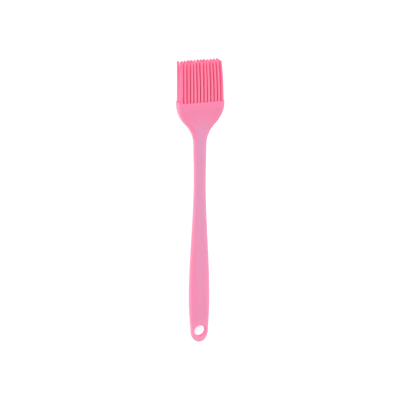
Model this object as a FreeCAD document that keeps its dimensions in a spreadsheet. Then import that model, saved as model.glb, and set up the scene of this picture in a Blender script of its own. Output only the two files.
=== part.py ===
"""Silicone pastry brush: an overmoulded sleeve with a grip, a flared cup and a hanging eye, the
steel strip inside it, and four moulded combs of bristles stacked in the cup.

Lengths are in millimetres. +Y runs from the hanging eye to the bristle tips, X is across the head
and +Z is up: the brush lies on its back. The origin is under the middle of the brush, on the
surface that it lies on. A station is a distance along the brush from the end of the eye.
"""
import FreeCAD
import Part
import math
import os
import Sketcher

SIZES = [
    # alias, value, what it is
    ("overall_length", 210.0, "end of the eye to the bristle tips"),
    ("bristle_length", 29.0, "rim of the cup to the bristle tips"),
    ("eye_length", 8.9, "length of the egg-shaped end"),
    ("eye_width", 13.1, "width where that end meets the grip"),
    ("eye_narrowing", 0.8, "radius at the very end, less than half that width by this much"),
    ("eye_thickness", 5.6, "thickness of the end"),
    ("eye_corner", 2.3, "edge rounding of the end"),
    ("eye_lift", 2.3, "underside of the end above the surface"),
    ("hole_diameter", 8.2, "hanging hole, at its throat"),
    ("hole_station", 8.7, "centre of the hanging hole"),
    ("hole_rounding", 1.8, "rounding of the two edges of the hanging hole"),
    ("grip_station", 33.0, "widest place of the grip"),
    ("grip_width", 14.8, "width there"),
    ("grip_thickness", 9.8, "thickness there, with the part that the flat takes off"),
    ("grip_corner", 4.1, "edge rounding of the section there"),
    ("neck_length", 25.0, "narrowest place of the neck to the start of the flare"),
    ("neck_width", 8.4, "width at the narrowest place"),
    ("neck_thickness", 7.8, "thickness there"),
    ("neck_corner", 3.4, "edge rounding of the section there"),
    ("neck_lift", 1.5, "underside of the neck above the surface"),
    ("shoulder_width", 9.1, "width where the flare starts"),
    ("flare_length", 29.7, "start of the flare to the full width of the head"),
    ("head_land", 2.2, "straight band between the flare and the rim"),
    ("head_width", 34.0, "width of the head"),
    ("head_thickness", 12.1, "thickness of the head, with the part that the flat takes off"),
    ("head_corner", 3.6, "edge rounding of the head's section"),
    ("back_flat", 0.1, "taken off the back, which leaves the flats that the brush lies on"),
    ("cup_wall", 0.7, "wall of the cup at the rim"),
    ("cup_recess", 0.4, "top of the combs below the rim"),
    ("comb_depth", 7.0, "depth of the combs' bars in the cup"),
    ("comb_corner", 2.4, "edge rounding of the stack of combs"),
    ("comb_clearance", 0.05, "between the stack of combs and the sides of the cup"),
    ("comb_margin", 1.19, "end of a comb to the middle of its last bristle"),
    ("bristle_count", 13, "bristles on one comb"),
    ("root_diameter", 1.85, "bristle at its root"),
    ("tip_diameter", 1.45, "bristle at its tip"),
    ("flex_gap", 0.1, "running gap between a bristle's round root and its bar"),
    ("core_width", 6.4, "steel strip, across the brush"),
    ("core_thickness", 2.0, "steel strip, through the brush"),
    ("core_start", 16.5, "station of the strip's lower end"),
    ("core_chamfer", 1.2, "cut corners of the strip"),
    ("core_clearance", 0.02, "between the strip and the silicone"),
    ("spade_width", 15.0, "wide upper end of the strip"),
    ("spade_length", 8.0, "length of that end, without its slopes"),
    ("spade_slope", 6.0, "length of its slopes"),
    ("key_diameter", 3.2, "holes in the strip that the silicone fills"),
    ("key_inset", 5.0, "middle of a hole to the nearest end of the strip"),
]
ROWS = 4
GRIP_STEPS = 6
NECK_STEPS = 4
FLARE_STEPS = 8

doc = FreeCAD.newDocument("pastry_brush")
sheet = doc.addObject("Spreadsheet::Sheet", "sizes")
for line, (alias, value, note) in enumerate(SIZES, start=1):
    sheet.set(f"A{line}", alias)
    sheet.set(f"B{line}", str(value))
    sheet.setAlias(f"B{line}", alias)
    sheet.set(f"C{line}", note)
doc.recompute()

# Every size of the sheet as a word for the expressions, under its own name in capitals.
S = {alias: f"sizes.{alias}" for alias, value, note in SIZES}

# Places along the brush.
MIDDLE = f"({S['overall_length']} / 2)"
EYE_HALF = f"({S['eye_width']} / 2)"
EYE_NOSE = f"({EYE_HALF} - {S['eye_narrowing']})"
RIM = f"({S['overall_length']} - {S['bristle_length']})"
FLARE_END = f"({RIM} - {S['head_land']})"
FLARE_START = f"({FLARE_END} - {S['flare_length']})"
NECK = f"({FLARE_START} - {S['neck_length']})"
COMB_TOP = f"({RIM} - {S['cup_recess']})"
COMB_BOTTOM = f"({COMB_TOP} - {S['comb_depth']})"
PIVOT = f"({COMB_TOP} + {S['flex_gap']} + {S['root_diameter']} / 2)"

# The flare is two equal arcs, tangent to each other, to the neck and to the head.
FLARE_RISE = f"(({S['head_width']} - {S['shoulder_width']}) / 2)"
FLARE_RADIUS = f"(({S['flare_length']} ^ 2 + {FLARE_RISE} ^ 2) / (4 * {FLARE_RISE}))"

# The stack of combs, across and up. Its ends follow the head's second arc down from the rim.
DRAW_IN = f"({FLARE_RADIUS} - sqrt({FLARE_RADIUS} ^ 2 - ({FLARE_END} - {COMB_BOTTOM}) ^ 2))"
CUP_HALF = f"({S['head_width']} / 2 - {S['cup_wall']})"
CUP_HALF_LOW = f"({CUP_HALF} - {DRAW_IN})"
CUP_HEIGHT = f"({S['head_thickness']} - {S['back_flat']} - 2 * {S['cup_wall']})"
STACK_LIFT = f"({S['cup_wall']} + {S['comb_clearance']})"
STACK_HEIGHT = f"({CUP_HEIGHT} - 2 * {S['comb_clearance']})"
ROW_PITCH = f"({STACK_HEIGHT} / {ROWS})"
COMB_HALF = f"({CUP_HALF} - {S['comb_clearance']})"
COMB_HALF_LOW = f"({CUP_HALF_LOW} - {S['comb_clearance']})"
OUTER_BRISTLE = f"({COMB_HALF} - {S['comb_margin']})"

# The grip and the head reach this far below the surface until the flats are cut.
SIDE_LIFT = f"(0 - {S['back_flat']})"

# The strip lies half way between the middle planes of the grip and of the head.
CORE_MIDDLE = f"(({S['grip_thickness']} + {S['head_thickness']}) / 4 - {S['back_flat']})"


def value_of(expression):
    """The present value of an expression."""
    result = sheet.evalExpression(expression)
    return float(getattr(result, "Value", result))


def straight(start, end, share):
    """An expression for the value at a share of the straight way from start to end."""
    return f"({start} + ({end} - {start}) * {share:.9f})"


def gentle(start, end, share):
    """The same on a curve that is level at both ends."""
    return straight(start, end, (1 - math.cos(math.pi * share)) / 2)


def flare_half(share):
    """Half the width at a share of the flare, on its first or its second arc."""
    if share <= 0.5:
        reach = f"({S['flare_length']} * {share:.9f})"
        return f"({S['shoulder_width']} / 2 + {FLARE_RADIUS} - sqrt({FLARE_RADIUS} ^ 2 - {reach} ^ 2))"
    reach = f"({S['flare_length']} * {1 - share:.9f})"
    return f"({S['head_width']} / 2 - {FLARE_RADIUS} + sqrt({FLARE_RADIUS} ^ 2 - {reach} ^ 2))"


def sleeve_sections():
    """Station, half width, thickness, lift and corner of each section of the sleeve."""
    eye = [EYE_HALF, S["eye_thickness"], S["eye_lift"], S["eye_corner"]]
    grip = [f"({S['grip_width']} / 2)", S["grip_thickness"], SIDE_LIFT, S["grip_corner"]]
    neck = [f"({S['neck_width']} / 2)", S["neck_thickness"], S["neck_lift"], S["neck_corner"]]
    shoulder = [f"({S['shoulder_width']} / 2)"] + neck[1:]
    head = [f"({S['head_width']} / 2)", S["head_thickness"], SIDE_LIFT, S["head_corner"]]

    sections = [[S["eye_length"]] + eye]
    for share in (0.25, 0.5, 0.75):
        swell = math.sin(math.pi / 2 * share)
        rest = [gentle(a, b, share) for a, b in zip(eye[1:], grip[1:])]
        sections.append([straight(S["eye_length"], S["grip_station"], share),
                         straight(eye[0], grip[0], swell)] + rest)
    sections.append([S["grip_station"]] + grip)
    for step in range(1, GRIP_STEPS):
        share = step / GRIP_STEPS
        sections.append([straight(S["grip_station"], NECK, share)]
                        + [gentle(a, b, share) for a, b in zip(grip, neck)])
    for step in range(NECK_STEPS + 1):
        share = step / NECK_STEPS
        sections.append([straight(NECK, FLARE_START, share)]
                        + [gentle(a, b, share) for a, b in zip(neck, shoulder)])
    for step in range(1, FLARE_STEPS):
        share = step / FLARE_STEPS
        rest = [gentle(a, b, share ** 2) for a, b in zip(shoulder[1:], head[1:])]
        sections.append([straight(FLARE_START, FLARE_END, share), flare_half(share)] + rest)
    sections.append([FLARE_END] + head)
    sections.append([RIM] + head)
    return sections


def new_body(label):
    """An empty body, with its label."""
    body = doc.addObject("PartDesign::Body", label)
    body.Label = label
    return body


def new_sketch(body, name, role, **offset):
    """A sketch on one of its body's own planes, moved from it by expressions for x, y or z."""
    sketch = body.newObject("Sketcher::SketchObject", name)
    plane = [feature for feature in body.Origin.OriginFeatures if feature.Role == role][0]
    sketch.AttachmentSupport = [(plane, "")]
    sketch.MapMode = "FlatFace"
    for direction, expression in offset.items():
        sketch.setExpression(f".AttachmentOffset.Base.{direction}", expression)
    return sketch


def cross_sketch(body, name, station):
    """A sketch across the brush: its axes are X and Z."""
    return new_sketch(body, name, "XZ_Plane", z=f"{MIDDLE} - {station}")


def plan_sketch(body, name, height="0", side="0"):
    """A sketch seen from above: its axes are X, counted from side, and the station."""
    return new_sketch(body, name, "XY_Plane", x=side, y=f"0 - {MIDDLE}", z=height)


def tie(sketch, kind, *places, to):
    """A dimension of a sketch, tied to an expression."""
    index = sketch.addConstraint(Sketcher.Constraint(kind, *places, value_of(to)))
    sketch.setExpression(f"Constraints[{index}]", to)


def tie_point(sketch, edge, end, across, up):
    """Places one end of an edge. A place on the sketch's own upright axis is given as None."""
    if across is None:
        sketch.addConstraint(Sketcher.Constraint("PointOnObject", edge, end, -2))
    else:
        tie(sketch, "DistanceX", -1, 1, edge, end, to=across)
    tie(sketch, "DistanceY", -1, 1, edge, end, to=up)


def rounded_section(body, name, station, half, thickness, lift, corner):
    """A rectangle with four equal rounded corners, symmetric about the middle of the brush."""
    sketch = cross_sketch(body, name, station)
    side, deep, low, round_ = (value_of(e) for e in (half, thickness, lift, corner))
    inner = side - round_
    centres = [(inner, low + round_), (inner, low + deep - round_),
               (-inner, low + deep - round_), (-inner, low + round_)]
    ends = [((side, centres[0][1]), (side, centres[1][1])),
            ((inner, low + deep), (-inner, low + deep)),
            ((-side, centres[2][1]), (-side, centres[3][1])),
            ((-inner, low), (inner, low))]
    arcs = []
    for turn, (x, y) in enumerate(centres):
        circle = Part.Circle(FreeCAD.Vector(x, y, 0), FreeCAD.Vector(0, 0, 1), round_)
        start = math.pi / 2 * (turn - 1)
        arcs.append(sketch.addGeometry(Part.ArcOfCircle(circle, start, start + math.pi / 2)))
    lines = []
    for first, last in ends:
        edge = Part.LineSegment(FreeCAD.Vector(*first, 0), FreeCAD.Vector(*last, 0))
        lines.append(sketch.addGeometry(edge))
    for turn in range(4):
        following = arcs[(turn + 1) % 4]
        sketch.addConstraint(Sketcher.Constraint("Tangent", arcs[turn], 2, lines[turn], 1))
        sketch.addConstraint(Sketcher.Constraint("Tangent", lines[turn], 2, following, 1))
    for turn in range(3):
        sketch.addConstraint(Sketcher.Constraint("Equal", arcs[turn], arcs[turn + 1]))
    for turn, kind in enumerate(("Vertical", "Horizontal", "Vertical")):
        sketch.addConstraint(Sketcher.Constraint(kind, lines[turn]))
    sketch.addConstraint(Sketcher.Constraint("Symmetric", arcs[0], 3, arcs[3], 3, -2))
    tie(sketch, "Radius", arcs[0], to=corner)
    tie(sketch, "DistanceX", -1, 1, arcs[0], 3, to=f"{half} - {corner}")
    tie(sketch, "DistanceY", -1, 1, arcs[0], 3, to=f"{lift} + {corner}")
    tie(sketch, "DistanceY", arcs[0], 3, arcs[1], 3, to=f"{thickness} - 2 * {corner}")
    return sketch


def mirrored_outline(sketch, corners):
    """A closed outline of straight lines, symmetric about the sketch's upright axis. The corners
    are those of the right-hand side, from the bottom up."""
    right = [FreeCAD.Vector(value_of(x), value_of(y), 0) for x, y in corners]
    left = [FreeCAD.Vector(-point.x, point.y, 0) for point in reversed(right)]
    points = right + left
    edges = [sketch.addGeometry(Part.LineSegment(points[n], points[(n + 1) % len(points)]))
             for n in range(len(points))]
    for n, edge in enumerate(edges):
        following = edges[(n + 1) % len(edges)]
        sketch.addConstraint(Sketcher.Constraint("Coincident", edge, 2, following, 1))
    for n, (x, y) in enumerate(corners):
        tie_point(sketch, edges[n], 1, x, y)
        twin = edges[len(points) - 1 - n]
        sketch.addConstraint(Sketcher.Constraint("Symmetric", edges[n], 1, twin, 1, -2))


def circle(sketch, station, radius):
    """A circle on the sketch's upright axis."""
    centre = FreeCAD.Vector(0, value_of(station), 0)
    shape = Part.Circle(centre, FreeCAD.Vector(0, 0, 1), value_of(radius))
    edge = sketch.addGeometry(shape)
    tie_point(sketch, edge, 3, None, station)
    tie(sketch, "Radius", edge, to=radius)


def loft(body, kind, name, sketches, ruled):
    """A loft from the first sketch through the rest."""
    feature = body.newObject(kind, name)
    feature.Profile = sketches[0]
    feature.Sections = sketches[1:]
    feature.Ruled = ruled
    return feature


def core_outline(sketch, clearance):
    """The strip's outline and its two key holes, grown by a clearance. The upper end is where
    the combs stand, so it gets none."""
    narrow = f"({S['core_width']} / 2 + {clearance})"
    wide = f"({S['spade_width']} / 2 + {clearance})"
    start = f"({S['core_start']} - {clearance})"
    spade = f"({COMB_BOTTOM} - {S['spade_length']} - {clearance})"
    mirrored_outline(sketch, [
        (f"({narrow} - {S['core_chamfer']})", start),
        (narrow, f"({start} + {S['core_chamfer']})"),
        (narrow, f"({spade} - {S['spade_slope']})"),
        (wide, spade),
        (wide, COMB_BOTTOM)])
    key_radius = f"({S['key_diameter']} / 2 - {clearance})"
    circle(sketch, f"({S['core_start']} + {S['key_inset']})", key_radius)
    circle(sketch, f"({COMB_BOTTOM} - {S['key_inset']})", key_radius)


def make_core():
    """The steel strip."""
    body = new_body("core_strip")
    sketch = plan_sketch(body, "strip_outline", height=CORE_MIDDLE)
    core_outline(sketch, "0")
    pad = body.newObject("PartDesign::Pad", "strip")
    pad.Profile = sketch
    pad.Midplane = True
    pad.setExpression("Length", S["core_thickness"])
    return body


def stack_sections(body, prefix, half, half_low, lift, height, corner):
    """The two sections of the stack of combs, or of the cup round it: top and bottom."""
    return [rounded_section(body, f"{prefix}_top", RIM, half, height, lift, corner),
            rounded_section(body, f"{prefix}_bottom", COMB_BOTTOM, half_low, height, lift, corner)]


def make_sleeve():
    """The silicone sleeve: one skin from the eye to the rim, with its cup and cavities."""
    body = new_body("handle_sleeve")
    make_end(body)
    sections = [rounded_section(body, f"section_{number:02d}", *section)
                for number, section in enumerate(sleeve_sections())]
    loft(body, "PartDesign::AdditiveLoft", "skin", sections, False)
    doc.recompute()

    underside = plan_sketch(body, "underside")
    far = f"({S['overall_length']} + {S['head_width']})"
    mirrored_outline(underside, [(far, "0 - " + far), (far, far)])
    flats = body.newObject("PartDesign::Pocket", "back_flats")
    flats.Profile = underside
    flats.setExpression("Length", S["head_thickness"])
    doc.recompute()

    cup = stack_sections(body, "cup", CUP_HALF, CUP_HALF_LOW, S["cup_wall"], CUP_HEIGHT,
                         S["comb_corner"])
    loft(body, "PartDesign::SubtractiveLoft", "cup", cup, True)
    doc.recompute()

    strip = plan_sketch(body, "strip_cavity_outline", height=CORE_MIDDLE)
    core_outline(strip, S["core_clearance"])
    cavity = body.newObject("PartDesign::Pocket", "strip_cavity")
    cavity.Profile = strip
    cavity.Midplane = True
    cavity.setExpression("Length", f"{S['core_thickness']} + 2 * {S['core_clearance']}")
    doc.recompute()

    make_hole(body)
    return body


def make_end(body):
    """The egg-shaped end with its rounded edges: an arc at the nose, and one on each side that
    leads from it to the grip."""
    sketch = plan_sketch(body, "end_outline", height=S["eye_lift"])
    nose, half, length = (value_of(e) for e in (EYE_NOSE, EYE_HALF, S["eye_length"]))
    rise = length - nose
    side = (rise ** 2 + half ** 2 - nose ** 2) / (2 * (half - nose))
    turn = math.atan2(rise, side - half)
    up = FreeCAD.Vector(0, 0, 1)
    right_circle = Part.Circle(FreeCAD.Vector(half - side, length, 0), up, side)
    nose_circle = Part.Circle(FreeCAD.Vector(0, nose, 0), up, nose)
    left_circle = Part.Circle(FreeCAD.Vector(side - half, length, 0), up, side)
    outline = [
        Part.ArcOfCircle(left_circle, math.pi, math.pi + turn),
        Part.ArcOfCircle(nose_circle, math.pi + turn, 2 * math.pi - turn),
        Part.ArcOfCircle(right_circle, -turn, 0),
        Part.LineSegment(FreeCAD.Vector(half, length, 0), FreeCAD.Vector(-half, length, 0))]
    left, middle, right, top = [sketch.addGeometry(edge) for edge in outline]
    for first, following in ((left, middle), (middle, right)):
        sketch.addConstraint(Sketcher.Constraint("Tangent", first, 2, following, 1))
    for first, following in ((right, top), (top, left)):
        sketch.addConstraint(Sketcher.Constraint("Coincident", first, 2, following, 1))
    sketch.addConstraint(Sketcher.Constraint("Horizontal", top))
    sketch.addConstraint(Sketcher.Constraint("Symmetric", left, 3, right, 3, -2))
    sketch.addConstraint(Sketcher.Constraint("PointOnObject", middle, 3, -2))
    tie(sketch, "Radius", middle, to=EYE_NOSE)
    tie(sketch, "DistanceY", -1, 1, middle, 3, to=EYE_NOSE)
    tie(sketch, "DistanceY", -1, 1, right, 3, to=S["eye_length"])
    tie_point(sketch, right, 2, EYE_HALF, S["eye_length"])
    slab = body.newObject("PartDesign::Pad", "end_slab")
    slab.Profile = sketch
    slab.setExpression("Length", S["eye_thickness"])
    doc.recompute()
    curved = [f"Edge{number}" for number, edge in enumerate(slab.Shape.Edges, start=1)
              if isinstance(edge.Curve, Part.Circle)]
    rounding = body.newObject("PartDesign::Fillet", "end_edges")
    rounding.Base = (slab, curved)
    rounding.setExpression("Radius", S["eye_corner"])
    doc.recompute()


def make_hole(body):
    """The hanging hole, straight down through the eye."""
    sketch = plan_sketch(body, "hole_outline")
    circle(sketch, S["hole_station"], f"({S['hole_diameter']} / 2)")
    hole = body.newObject("PartDesign::Pocket", "hanging_hole")
    hole.Profile = sketch
    hole.Midplane = True
    hole.setExpression("Length", f"3 * {S['grip_thickness']}")
    doc.recompute()
    for name, level, side in (("hole_edge_low", S["eye_lift"], -1),
                              ("hole_edge_high", f"({S['eye_lift']} + {S['eye_thickness']})", 1)):
        round_hole_edge(body, name, level, side)


def round_hole_edge(body, name, level, side):
    """Rounds one edge of the hanging hole: a quarter of an arc between the hole's wall and the
    face at that level, turned about the hole's axis. The side is 1 where the face looks up."""
    sketch = cross_sketch(body, name, S["hole_station"])
    throat = value_of(S["hole_diameter"]) / 2
    radius = value_of(S["hole_rounding"])
    face = value_of(level)
    foot = face - side * radius
    beyond = face + side * radius
    middle = Part.Circle(FreeCAD.Vector(throat + radius, foot, 0), FreeCAD.Vector(0, 0, 1), radius)
    start = math.pi / 2 if side > 0 else math.pi
    arc = sketch.addGeometry(Part.ArcOfCircle(middle, start, start + math.pi / 2))
    wall_end, face_end = (2, 1) if side > 0 else (1, 2)
    corners = [(throat, foot), (throat, beyond), (throat + radius, beyond), (throat + radius, face)]
    lines = [sketch.addGeometry(Part.LineSegment(FreeCAD.Vector(*first, 0), FreeCAD.Vector(*last, 0)))
             for first, last in zip(corners, corners[1:])]
    for first, following in zip(lines, lines[1:]):
        sketch.addConstraint(Sketcher.Constraint("Coincident", first, 2, following, 1))
    sketch.addConstraint(Sketcher.Constraint("Tangent", arc, wall_end, lines[0], 1))
    sketch.addConstraint(Sketcher.Constraint("Coincident", arc, face_end, lines[2], 2))
    sketch.addConstraint(Sketcher.Constraint("Vertical", lines[0]))
    sketch.addConstraint(Sketcher.Constraint("Horizontal", lines[1]))
    sketch.addConstraint(Sketcher.Constraint("Vertical", lines[2]))
    tie(sketch, "Radius", arc, to=S["hole_rounding"])
    tie(sketch, "DistanceX", -1, 1, lines[0], 1, to=f"{S['hole_diameter']} / 2")
    tie(sketch, "DistanceX", arc, 3, lines[2], 2, to="0")
    sign = "-" if side > 0 else "+"
    tie(sketch, "DistanceY", -1, 1, arc, 3, to=f"{level} {sign} {S['hole_rounding']}")
    tie(sketch, "DistanceY", -1, 1, lines[1], 2,
        to=f"{level} {'+' if side > 0 else '-'} {S['hole_rounding']}")
    groove = body.newObject("PartDesign::Groove", f"{name}_rounding")
    groove.Profile = sketch
    groove.ReferenceAxis = (sketch, ["V_Axis"])
    groove.Angle = 360
    doc.recompute()


def make_combs():
    """The bars of the combs: one tapered block that fits the cup, cut into equal layers."""
    block = new_body("comb_block")
    sections = stack_sections(block, "block", COMB_HALF, COMB_HALF_LOW, STACK_LIFT, STACK_HEIGHT,
                              f"({S['comb_corner']} - {S['comb_clearance']})")
    loft(block, "PartDesign::AdditiveLoft", "block", sections, True)
    doc.recompute()
    bars = []
    for row in range(1, ROWS + 1):
        layer = doc.addObject("Part::Box", f"layer_{row}")
        layer.setExpression("Length", S["head_width"])
        layer.setExpression("Width", S["comb_depth"])
        layer.setExpression("Height", ROW_PITCH)
        layer.setExpression(".Placement.Base.x", f"0 - {S['head_width']} / 2")
        layer.setExpression(".Placement.Base.y", f"{COMB_BOTTOM} - {MIDDLE}")
        layer.setExpression(".Placement.Base.z", f"{STACK_LIFT} + {ROWS - row} * {ROW_PITCH}")
        bar = doc.addObject("Part::Common", f"comb_bar_{row}")
        bar.Base = block
        bar.Tool = layer
        bar.Label = f"comb_bar_{row}"
        bars.append(bar)
    return bars


def make_bristles(row):
    """The bristles of one comb: a tapered round bristle with a round root, repeated along X."""
    body = new_body(f"bristle_row_{row}")
    height = f"{STACK_LIFT} + {ROWS - row + 0.5} * {ROW_PITCH}"
    sketch = plan_sketch(body, f"bristle_profile_{row}", height=height, side=f"0 - {OUTER_BRISTLE}")
    root = value_of(S["root_diameter"]) / 2
    tip = value_of(S["tip_diameter"]) / 2
    low = value_of(PIVOT)
    high = value_of(S["overall_length"]) - tip
    up = FreeCAD.Vector(0, 0, 1)
    outline = [
        Part.ArcOfCircle(Part.Circle(FreeCAD.Vector(0, low, 0), up, root), -math.pi / 2, 0),
        Part.LineSegment(FreeCAD.Vector(root, low, 0), FreeCAD.Vector(tip, high, 0)),
        Part.ArcOfCircle(Part.Circle(FreeCAD.Vector(0, high, 0), up, tip), 0, math.pi / 2),
        Part.LineSegment(FreeCAD.Vector(0, high + tip, 0), FreeCAD.Vector(0, low - root, 0))]
    edges = [sketch.addGeometry(edge) for edge in outline]
    for number, edge in enumerate(edges):
        following = edges[(number + 1) % 4]
        sketch.addConstraint(Sketcher.Constraint("Coincident", edge, 2, following, 1))
    sketch.addConstraint(Sketcher.Constraint("PointOnObject", edges[3], 1, -2))
    sketch.addConstraint(Sketcher.Constraint("PointOnObject", edges[3], 2, -2))
    tie_point(sketch, edges[0], 3, None, PIVOT)
    tie_point(sketch, edges[1], 1, f"{S['root_diameter']} / 2", PIVOT)
    tie_point(sketch, edges[2], 3, None, f"{S['overall_length']} - {S['tip_diameter']} / 2")
    tie_point(sketch, edges[1], 2, f"{S['tip_diameter']} / 2",
              f"{S['overall_length']} - {S['tip_diameter']} / 2")
    bristle = body.newObject("PartDesign::Revolution", f"bristle_{row}")
    bristle.Profile = sketch
    bristle.ReferenceAxis = (sketch, ["V_Axis"])
    bristle.Angle = 360
    doc.recompute()
    pattern = body.newObject("PartDesign::LinearPattern", f"bristles_{row}")
    pattern.Originals = [bristle]
    pattern.Direction = (sketch, ["H_Axis"])
    pattern.setExpression("Length", f"2 * {OUTER_BRISTLE}")
    pattern.setExpression("Occurrences", S["bristle_count"])
    body.Tip = pattern
    return body


def check_and_write(pieces):
    """Refuses a failed document or a broken shape, then writes one file for each piece."""
    doc.recompute()
    for item in doc.Objects:
        if {"Invalid", "Error"} & set(item.State):
            raise RuntimeError(f"{item.Name} failed: {item.State}")
    os.makedirs("parts", exist_ok=True)
    for piece in pieces:
        if piece.Shape.isNull() or not piece.Shape.isValid():
            raise RuntimeError(f"{piece.Label} has a broken shape")
    for piece in pieces:
        piece.Shape.exportStep(os.path.join("parts", f"{piece.Label}.step"))


pieces = [make_sleeve(), make_core()] + make_combs()
pieces += [make_bristles(row) for row in range(1, ROWS + 1)]
check_and_write(pieces)
for piece in pieces:
    box = piece.Shape.optimalBoundingBox(False, False)
    print(piece.Label, len(piece.Shape.Solids), "solids,", round(piece.Shape.Volume, 2), "mm3,",
          "x", round(box.XMin, 2), round(box.XMax, 2), "y", round(box.YMin, 2), round(box.YMax, 2),
          "z", round(box.ZMin, 2), round(box.ZMax, 2))
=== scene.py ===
import math

import bmesh
import bpy
from bpy.props import FloatProperty, FloatVectorProperty, IntProperty, PointerProperty
from mathutils import Matrix, Vector


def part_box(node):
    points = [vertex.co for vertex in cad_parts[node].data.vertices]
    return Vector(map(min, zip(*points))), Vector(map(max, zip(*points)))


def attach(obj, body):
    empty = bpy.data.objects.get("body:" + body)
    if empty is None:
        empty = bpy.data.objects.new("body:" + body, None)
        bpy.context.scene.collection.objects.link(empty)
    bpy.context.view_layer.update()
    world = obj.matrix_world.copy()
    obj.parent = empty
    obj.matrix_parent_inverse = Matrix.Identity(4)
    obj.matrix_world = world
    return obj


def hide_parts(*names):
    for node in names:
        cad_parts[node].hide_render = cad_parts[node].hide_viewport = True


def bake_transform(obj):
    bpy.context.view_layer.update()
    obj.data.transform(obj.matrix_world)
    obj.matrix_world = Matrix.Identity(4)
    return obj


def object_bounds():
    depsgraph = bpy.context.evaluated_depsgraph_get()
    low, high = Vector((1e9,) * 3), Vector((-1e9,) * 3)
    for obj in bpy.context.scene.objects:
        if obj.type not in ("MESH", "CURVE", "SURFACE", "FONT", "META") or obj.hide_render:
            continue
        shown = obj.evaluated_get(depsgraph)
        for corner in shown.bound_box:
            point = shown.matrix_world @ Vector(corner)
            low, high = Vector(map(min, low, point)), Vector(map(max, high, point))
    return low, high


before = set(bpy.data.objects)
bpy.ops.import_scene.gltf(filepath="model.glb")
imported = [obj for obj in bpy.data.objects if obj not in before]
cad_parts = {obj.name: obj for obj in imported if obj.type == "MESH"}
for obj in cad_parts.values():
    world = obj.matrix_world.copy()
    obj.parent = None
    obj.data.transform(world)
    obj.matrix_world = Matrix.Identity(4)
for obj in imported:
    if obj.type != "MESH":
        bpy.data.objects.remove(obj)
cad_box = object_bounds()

# A silicone pastry brush that lies on its back. X is across the head, +Y runs from the hanging eye
# to the bristle tips and Z is up. A station is a distance along the brush from the end of the eye.

bl_info = {
    "name": "Silicone pastry brush",
    "version": (1, 0, 0),
    "blender": (4, 5, 0),
    "location": "3D view > Sidebar > Brush",
    "description": "Builds the visible pieces of a pastry brush round its frame",
    "category": "Object",
}

MM = 0.001
ROWS = 4
TAIL = cad_box[0].y


def length(name, description, millimetres):
    """A length that can be changed in the sidebar."""
    return FloatProperty(name=name, description=description, default=millimetres * MM,
                         unit="LENGTH", subtype="DISTANCE", precision=5)


def angle(name, description, degrees):
    """An angle that can be changed in the sidebar."""
    return FloatProperty(name=name, description=description, default=math.radians(degrees),
                         subtype="ANGLE", unit="ROTATION")


def tone(name, description, colour):
    """A colour that can be changed in the sidebar."""
    return FloatVectorProperty(name=name, description=description, default=colour, size=3,
                               subtype="COLOR", min=0, max=1)


def factor(name, description, value, low=0.0, high=1.0):
    """A plain number that can be changed in the sidebar."""
    return FloatProperty(name=name, description=description, default=value, min=low, max=high)


class SleeveSettings(bpy.types.PropertyGroup):
    """Sizes of the silicone sleeve."""
    eye_length: length("Eye length", "Length of the egg-shaped end", 8.9)
    eye_half: length("Eye half width", "Half the width there", 6.55)
    eye_nose: length("Eye nose", "Radius of the end's middle", 5.75)
    eye_thickness: length("Eye thickness", "Thickness of the eye", 5.6)
    eye_corner: length("Eye edge", "Edge rounding of the eye's section", 2.3)
    eye_lift: length("Eye lift", "Underside of the eye above the surface", 2.3)
    hole_radius: length("Hole radius", "Radius of the hanging hole's throat", 4.1)
    hole_station: length("Hole station", "Centre of the hanging hole", 8.7)
    hole_rounding: length("Hole edge", "Rounding of the hanging hole's edges", 1.8)
    grip_station: length("Grip station", "Widest place of the grip", 33.0)
    grip_half: length("Grip half width", "Half the width there", 7.4)
    grip_thickness: length("Grip thickness", "Thickness there", 9.8)
    grip_corner: length("Grip edge", "Edge rounding there", 4.1)
    neck_station: length("Neck station", "Narrowest place of the neck", 124.1)
    neck_half: length("Neck half width", "Half the width there", 4.2)
    neck_thickness: length("Neck thickness", "Thickness there", 7.8)
    neck_corner: length("Neck edge", "Edge rounding there", 3.4)
    neck_lift: length("Neck lift", "Underside of the neck above the surface", 1.5)
    flare_start: length("Flare start", "Station where the flare starts", 149.1)
    shoulder_half: length("Shoulder half width", "Half the width where the flare starts", 4.55)
    flare_end: length("Flare end", "Station where the head is full width", 178.8)
    head_half: length("Head half width", "Half the width of the head", 17.0)
    head_thickness: length("Head thickness", "Thickness of the head", 12.1)
    head_corner: length("Head edge", "Edge rounding of the head's section", 3.6)
    back_flat: length("Back flat", "Taken off the back, where the brush lies", 0.1)
    rim_station: length("Rim station", "Rim of the cup", 181.0)
    rim_rounding: length("Rim rounding", "Rounding of the rim's outer and inner edges", 0.3)
    cup_wall: length("Cup wall", "Wall of the cup at the rim", 0.7)
    cup_corner: length("Cup edge", "Edge rounding inside the cup", 2.4)
    cup_depth: length("Cup depth", "Rim to the floor of the cup", 7.4)
    ring_step: length("Ring step", "Longest distance between two rings of the mesh", 1.2)


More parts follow.
